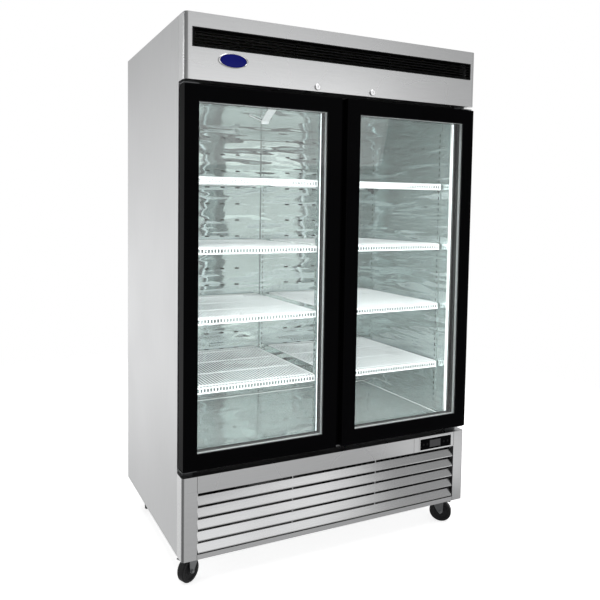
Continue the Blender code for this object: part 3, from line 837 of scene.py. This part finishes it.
def header_screws():
    """Screws under the header's lower edge and in the hinge brackets."""
    bm = bmesh.new()
    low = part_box("header_cover")[0]
    for x in (-0.56, -0.28, 0.28, 0.56):
        screw_head(bm, (x, low.y + 0.030, low.z), "-Z", 0.0040)
    for label, _ in SIDES:
        for stem, plate in HINGE_PLATES:
            low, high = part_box(f"{stem}_{label}")
            for x in (low.x + 0.012, high.x - 0.012):
                screw_head(bm, (x, high.y - 0.018, low.z + plate), "+Z", 0.0038, 0.0016)
    piece("bracket_screws", bm, ZINC)


def display_face():
    """Raised bezel, dark window and four buttons of the temperature controller."""
    low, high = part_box("control_display")
    y = low.y
    y_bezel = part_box("lower_front_frame")[0].y - 0.0006
    bm = bmesh.new()
    across = (low.x - BEZEL_MARGIN, high.x + BEZEL_MARGIN)
    upward = (low.z - BEZEL_MARGIN, high.z + BEZEL_MARGIN)
    hole = (low.x, high.x, low.z, high.z)
    holed_sheet(bm, across, upward, [hole], lambda u, v: (u, y_bezel, v))
    piece("display_bezel", bm, SLAT_STEEL, solid=0.0010)

    bm = bmesh.new()
    block(bm, low.x + 0.050, high.x - 0.060, y - 0.0008, y + 0.0004, low.z + 0.008, high.z - 0.008)
    window = painted("display_window", (0.006, 0.006, 0.008), 0.06, coat=0.5)
    piece("display_window", bm, window, bevel=0.0004)

    bm = bmesh.new()
    middle = (low.z + high.z) / 2
    for x in (low.x + 0.016, low.x + 0.036, high.x - 0.042, high.x - 0.020):
        turned(bm, BUTTON, (x, y, middle), "Y", 24)
    piece("display_buttons", bm, BLACK_SATIN)


def panel_seams():
    """Dark joints where the corner posts and the control plate meet the lower frame."""
    low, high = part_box("lower_front_frame")
    left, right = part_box("louvre_grille")[0].x - 0.004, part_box("louvre_grille")[1].x + 0.003
    front, back = low.y - SEAM_OUT, low.y + SEAM_IN
    bm = bmesh.new()
    for x in (left, right):
        block(bm, x - 0.0006, x + 0.0006, front, back, WINDOW_Z[1], high.z - 0.001)
        block(bm, x - 0.0006, x + 0.0006, front, back, low.z + 0.001, WINDOW_Z[0])
    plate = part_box("control_display")[0].x - 0.034
    block(bm, plate - 0.0004, plate + 0.0004, front, back, WINDOW_Z[1], high.z - 0.001)
    piece("panel_seams", bm, BLACK_DULL)


# ---------------------------------------------------------------- casters and back


def joint_named(name):
    return next(joint for joint in frame["joints"] if joint["name"] == name)


def on_both_ends(outline, steps, spot, turn):
    """A new mesh of the outline turned about an axle through spot, at both ends of the axle."""
    bm = bmesh.new()
    for end in (-1, 1):
        turned(bm, [(r, h * end) for r, h in outline], (0, 0, 0), "Y", steps)
    bmesh.ops.transform(bm, matrix=Matrix.Translation(spot) @ turn, verts=bm.verts)
    return bm


def caster_details():
    """Plate bolts on each caster, a nut at both ends of each axle, and a hub face on each wheel."""
    for row in ("front", "rear"):
        for label, _ in SIDES:
            name = f"{row}_{label}"
            fork, wheel = f"caster_fork_{name}", f"caster_wheel_{name}"
            x, y = joint_named(f"caster_{name}_swivel")["pos_m"][:2]
            bm = bmesh.new()
            for dx in (-BOLT_SPREAD[0], BOLT_SPREAD[0]):
                for dy in (-BOLT_SPREAD[1], BOLT_SPREAD[1]):
                    turned(bm, BOLT, (x + dx, y + dy, PLATE_Z), "Z", 6)
            piece(f"caster_bolts_{name}", bm, ZINC)

            roll = joint_named(f"caster_{name}_roll")
            axle, spot = Vector(roll["axis"]), Vector(roll["pos_m"])
            turn = Vector((0, 1, 0)).rotation_difference(axle).to_matrix().to_4x4()
            nuts = on_both_ends(NUT, 6, spot, turn)
            piece(f"axle_nuts_{name}", nuts, ZINC, fork)
            hub = on_both_ends(HUB_FACE, 36, spot, turn)
            piece(f"wheel_hub_{name}", hub, HUB_PLASTIC, wheel)


def back_details():
    """Screws round the back skin and along the rear cover."""
    low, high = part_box("back_panel")
    y = high.y - 0.0018
    bm = bmesh.new()
    for x in (low.x + 0.015, 0, high.x - 0.015):
        for z in (low.z + 0.03, low.z + 0.55, low.z + 1.10, high.z - 0.03):
            screw_head(bm, (x, y, z), "+Y")
    low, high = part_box("rear_machine_cover")
    for x in (low.x + 0.015, -0.20, 0.20, high.x - 0.015):
        for z in (low.z + 0.015, high.z - 0.015):
            screw_head(bm, (x, y, z), "+Y")
    piece("back_screws", bm, ZINC)


# ---------------------------------------------------------------- light, floor and camera


def area_light(name, place, target, size, power):
    """Rectangular light at a place, turned to its target; the camera doesn't see it."""
    data = bpy.data.lights.new(name, "AREA")
    data.shape = "RECTANGLE"
    data.size, data.size_y = size
    data.energy = power
    lamp = bpy.data.objects.new(name, data)
    lamp.location = place
    aim = Vector(target) - Vector(place)
    lamp.rotation_euler = aim.to_track_quat("-Z", "Y").to_euler()
    lamp.visible_camera = False
    SCENE.collection.objects.link(lamp)
    return lamp


def hidden_light(*settings):
    """An area light that neither mirrors nor glass show."""
    lamp = area_light(*settings)
    lamp.visible_glossy = False
    lamp.visible_transmission = False


def world_colour(nodes, links):
    """Brightness of the world by direction: around the object, times by height."""
    place = nodes.new("ShaderNodeTexCoord")
    split = nodes.new("ShaderNodeSeparateXYZ")
    links.new(place.outputs["Generated"], split.inputs["Vector"])
    # Degrees from the front, -Y, towards the right, +X
    front = nodes.new("ShaderNodeMath")
    front.operation = "MULTIPLY"
    front.inputs[1].default_value = -1.0
    links.new(split.outputs["Y"], front.inputs[0])
    angle = nodes.new("ShaderNodeMath")
    angle.operation = "ARCTAN2"
    links.new(split.outputs["X"], angle.inputs[0])
    links.new(front.outputs["Value"], angle.inputs[1])
    around = nodes.new("ShaderNodeMapRange")
    around.inputs["From Min"].default_value = -math.pi
    around.inputs["From Max"].default_value = math.pi
    links.new(angle.outputs["Value"], around.inputs["Value"])
    bands = ramp_of(nodes, [(degrees / 360 + 0.5, level) for degrees, level in WORLD_AROUND])
    links.new(around.outputs["Result"], bands.inputs["Fac"])
    # By height, with one curve towards the front and another towards the rear
    height = nodes.new("ShaderNodeMapRange")
    height.inputs["From Min"].default_value = -1.0
    links.new(split.outputs["Z"], height.inputs["Value"])
    sky = nodes.new("ShaderNodeMix")
    sky.data_type = "RGBA"
    for socket, stops in (("A", WORLD_RISE), ("B", WORLD_RISE_BACK)):
        rise = ramp_of(nodes, [((1 + z) / 2, level) for z, level in stops])
        links.new(height.outputs["Result"], rise.inputs["Fac"])
        links.new(rise.outputs["Color"], sky.inputs[socket])
    rear = nodes.new("ShaderNodeMapRange")
    rear.inputs["From Min"].default_value = WORLD_TURN[0]
    rear.inputs["From Max"].default_value = WORLD_TURN[1]
    links.new(split.outputs["Y"], rear.inputs["Value"])
    links.new(rear.outputs["Result"], sky.inputs["Factor"])
    product = nodes.new("ShaderNodeMix")
    product.data_type = "RGBA"
    product.blend_type = "MULTIPLY"
    product.inputs["Factor"].default_value = 1.0
    links.new(bands.outputs["Color"], product.inputs["A"])
    links.new(sky.outputs["Result"], product.inputs["B"])
    return product.outputs["Result"]


def studio_world():
    """Pale world that lights and is mirrored, and plain white where the camera looks straight at it."""
    world = bpy.data.worlds.new("studio")
    SCENE.world = world
    world.use_nodes = True
    nodes, links = world.node_tree.nodes, world.node_tree.links
    nodes.clear()
    glow = nodes.new("ShaderNodeBackground")
    glow.inputs["Strength"].default_value = WORLD_POWER
    links.new(world_colour(nodes, links), glow.inputs["Color"])
    seen = nodes.new("ShaderNodeBackground")
    seen.inputs["Color"].default_value = (1, 1, 1, 1)
    path = nodes.new("ShaderNodeLightPath")
    mix = nodes.new("ShaderNodeMixShader")
    out = nodes.new("ShaderNodeOutputWorld")
    links.new(path.outputs["Is Camera Ray"], mix.inputs["Fac"])
    links.new(glow.outputs["Background"], mix.inputs[1])
    links.new(seen.outputs["Background"], mix.inputs[2])
    links.new(mix.outputs["Shader"], out.inputs["Surface"])


def studio_lights():
    """Soft boxes round the object, and hidden lights inside it behind each door."""
    for settings in SOFT_BOXES:
        area_light(*settings)
    rear_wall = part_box("air_duct_panel")[0].y - 0.020
    for label, _ in SIDES:
        low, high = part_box(f"glass_inner_{label}")
        middle = (low + high) / 2
        wide, tall = high.x - low.x, high.z - low.z
        place, target = (middle.x, high.y + 0.010, middle.z), (middle.x, 1, middle.z)
        hidden_light(f"inside_{label}", place, target, (wide - 0.06, tall - 0.06), INSIDE_POWER)
        # Light that the steel walls throw back at the shelves
        place, target = (middle.x, rear_wall, middle.z), (middle.x, -1, middle.z)
        hidden_light(f"bounce_{label}", place, target, (wide - 0.10, tall - 0.10), BOUNCE_POWER)


def ramp_of(nodes, stops):
    """A colour ramp of greys with the given (position, level) stops."""
    node = nodes.new("ShaderNodeValToRGB")
    node.color_ramp.interpolation = "EASE"
    elements = node.color_ramp.elements
    while len(elements) < len(stops):
        elements.new(0.5)
    for element, (position, level) in zip(elements, stops):
        element.position = position
        element.color = (level, level, level, 1)
    return node


def floor():
    """White floor that fades into the white world, so that no horizon shows."""
    bm = bmesh.new()
    bmesh.ops.create_circle(bm, cap_ends=True, segments=96, radius=FLOOR_FADE[1] + 0.1)
    mesh = bpy.data.meshes.new("floor")
    bm.to_mesh(mesh)
    bm.free()
    item = bpy.data.objects.new("floor", mesh)
    SCENE.collection.objects.link(item)
    item.visible_glossy = False
    material, shader = principled("floor", (0.90, 0.90, 0.90), 0.0, 0.8)
    shader.inputs["Emission Color"].default_value = (1, 1, 1, 1)
    shader.inputs["Emission Strength"].default_value = FLOOR_GLOW
    nodes, links = material.node_tree.nodes, material.node_tree.links
    place = nodes.new("ShaderNodeTexCoord")
    reach = nodes.new("ShaderNodeVectorMath")
    reach.operation = "LENGTH"
    links.new(place.outputs["Object"], reach.inputs[0])
    fade = nodes.new("ShaderNodeMapRange")
    fade.interpolation_type = "SMOOTHSTEP"
    fade.inputs["From Min"].default_value = FLOOR_FADE[0]
    fade.inputs["From Max"].default_value = FLOOR_FADE[1]
    fade.inputs["To Min"].default_value = 1.0
    fade.inputs["To Max"].default_value = 0.0
    links.new(reach.outputs["Value"], fade.inputs["Value"])
    links.new(fade.outputs["Result"], shader.inputs["Alpha"])
    mesh.materials.append(material)


def camera():
    """The camera, turned by yaw, pitch and roll, with its lens shifted off the middle."""
    data = bpy.data.cameras.new("camera")
    data.lens = CAMERA_LENS
    data.sensor_width = 36
    data.shift_x, data.shift_y = CAMERA_SHIFT
    data.clip_end = 100
    item = bpy.data.objects.new("camera", data)
    yaw, pitch, roll = (math.radians(v) for v in (CAMERA_YAW, CAMERA_PITCH, CAMERA_ROLL))
    aim = Vector((math.sin(yaw) * math.cos(pitch), math.cos(yaw) * math.cos(pitch), math.sin(pitch)))
    right = Vector((math.cos(yaw), -math.sin(yaw), 0))
    up = right.cross(aim)
    rolled_right = math.cos(roll) * right + math.sin(roll) * up
    rolled_up = math.cos(roll) * up - math.sin(roll) * right
    turn = Matrix((rolled_right, rolled_up, -aim)).transposed().to_4x4()
    item.matrix_world = Matrix.Translation(CAMERA_AT) @ turn
    SCENE.collection.objects.link(item)
    SCENE.camera = item
    SCENE.view_settings.view_transform = "Standard"


dress_nodes()
for label, _ in SIDES:
    for index in SHELVES:
        wire_shelf(label, index)
duct_sheet()
rear_post()
side_posts()
shelf_clips()
light_bars()
ceiling_bracket()
floor_seams()
glazing_beads()
badge()
header_screws()
display_face()
panel_seams()
caster_details()
back_details()
studio_world()
studio_lights()
floor()
camera()
